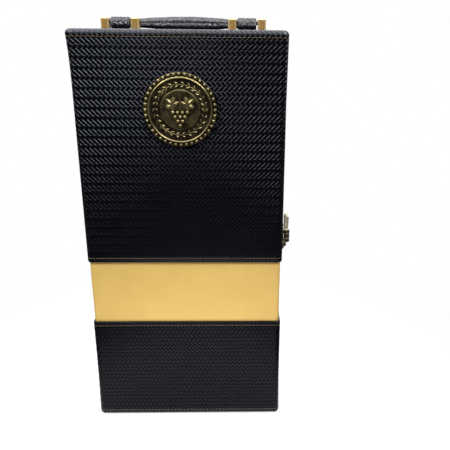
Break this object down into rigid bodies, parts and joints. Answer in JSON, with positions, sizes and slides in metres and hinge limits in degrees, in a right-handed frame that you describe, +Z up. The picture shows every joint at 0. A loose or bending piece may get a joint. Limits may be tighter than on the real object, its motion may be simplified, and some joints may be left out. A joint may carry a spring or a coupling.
{
  "type": "wine gift box",
  "caption": "Upright wine gift box in black woven leatherette with a gold band, brass medallion, padded folding handle, side-hinged lid and clasp.",
  "frame": {"origin": "middle of the box's footprint, on the ground plane of the base sheet", "axes": "+Z up along the height, -Y towards the front with the medallion, +X to the viewer's right where the clasp is"},
  "size_m": [0.1833, 0.1076, 0.3625],
  "materials": {
    "woven": "black leatherette embossed with a herringbone weave",
    "gold_band": "smooth pearly gold leatherette",
    "board": "raw fibreboard",
    "base_sheet": "plain black leatherette",
    "lining": "black flock",
    "velvet": "black velvet",
    "handle_leather": "black leather, semi-gloss",
    "post_brass": "satin brass",
    "antique_brass": "antique brass, dark in the recesses"
  },
  "bodies": {
    "tray": {"tray_back_board": "board", "tray_left_board": "board", "tray_right_board": "board", "tray_top_board": "board", "tray_bottom_board": "board", "tray_upper_wrap": "woven", "tray_band": "gold_band", "tray_lower_wrap": "woven", "tray_base_cover": "base_sheet", "tray_lining": "lining", "tray_back_pad": "velvet", "centre_divider": "velvet", "neck_rest": "velvet", "left_handle_bracket": "post_brass", "right_handle_bracket": "post_brass", "left_handle_pin": "post_brass", "right_handle_pin": "post_brass", "upper_hinge_tray_leaf": "antique_brass", "lower_hinge_tray_leaf": "antique_brass", "upper_hinge_pin": "antique_brass", "lower_hinge_pin": "antique_brass", "tray_hinge_nails": "antique_brass", "clasp_catch_plate": "antique_brass", "clasp_catch_nails": "antique_brass"},
    "lid": {"lid_front_board": "board", "lid_left_board": "board", "lid_right_board": "board", "lid_top_board": "board", "lid_bottom_board": "board", "lid_upper_wrap": "woven", "lid_band": "gold_band", "lid_lower_wrap": "woven", "lid_base_cover": "base_sheet", "lid_lining": "lining", "lid_pad": "velvet", "medallion": "antique_brass", "upper_hinge_lid_leaf": "antique_brass", "lower_hinge_lid_leaf": "antique_brass", "lid_hinge_nails": "antique_brass", "clasp_hinge_plate": "antique_brass", "clasp_pin": "antique_brass", "clasp_hinge_nails": "antique_brass"},
    "handle": {"handle": "handle_leather"},
    "hasp": {"clasp_hasp": "antique_brass"}
  },
  "joints": [
    {"name": "lid_hinge", "type": "hinge", "parent": "tray", "child": "lid", "pos_m": [-0.0875, -0.0175, 0.175], "axis": [0, 0, -1], "range_deg": [0, 180]},
    {"name": "handle_swing", "type": "hinge", "parent": "tray", "child": "handle", "pos_m": [0, 0.0025, 0.3567], "axis": [1, 0, 0], "range_deg": [0, 180]},
    {"name": "hasp_swing", "type": "hinge", "parent": "lid", "child": "hasp", "pos_m": [0.091, -0.0245, 0.175], "axis": [0, 0, -1], "range_deg": [0, 165]}
  ]
}
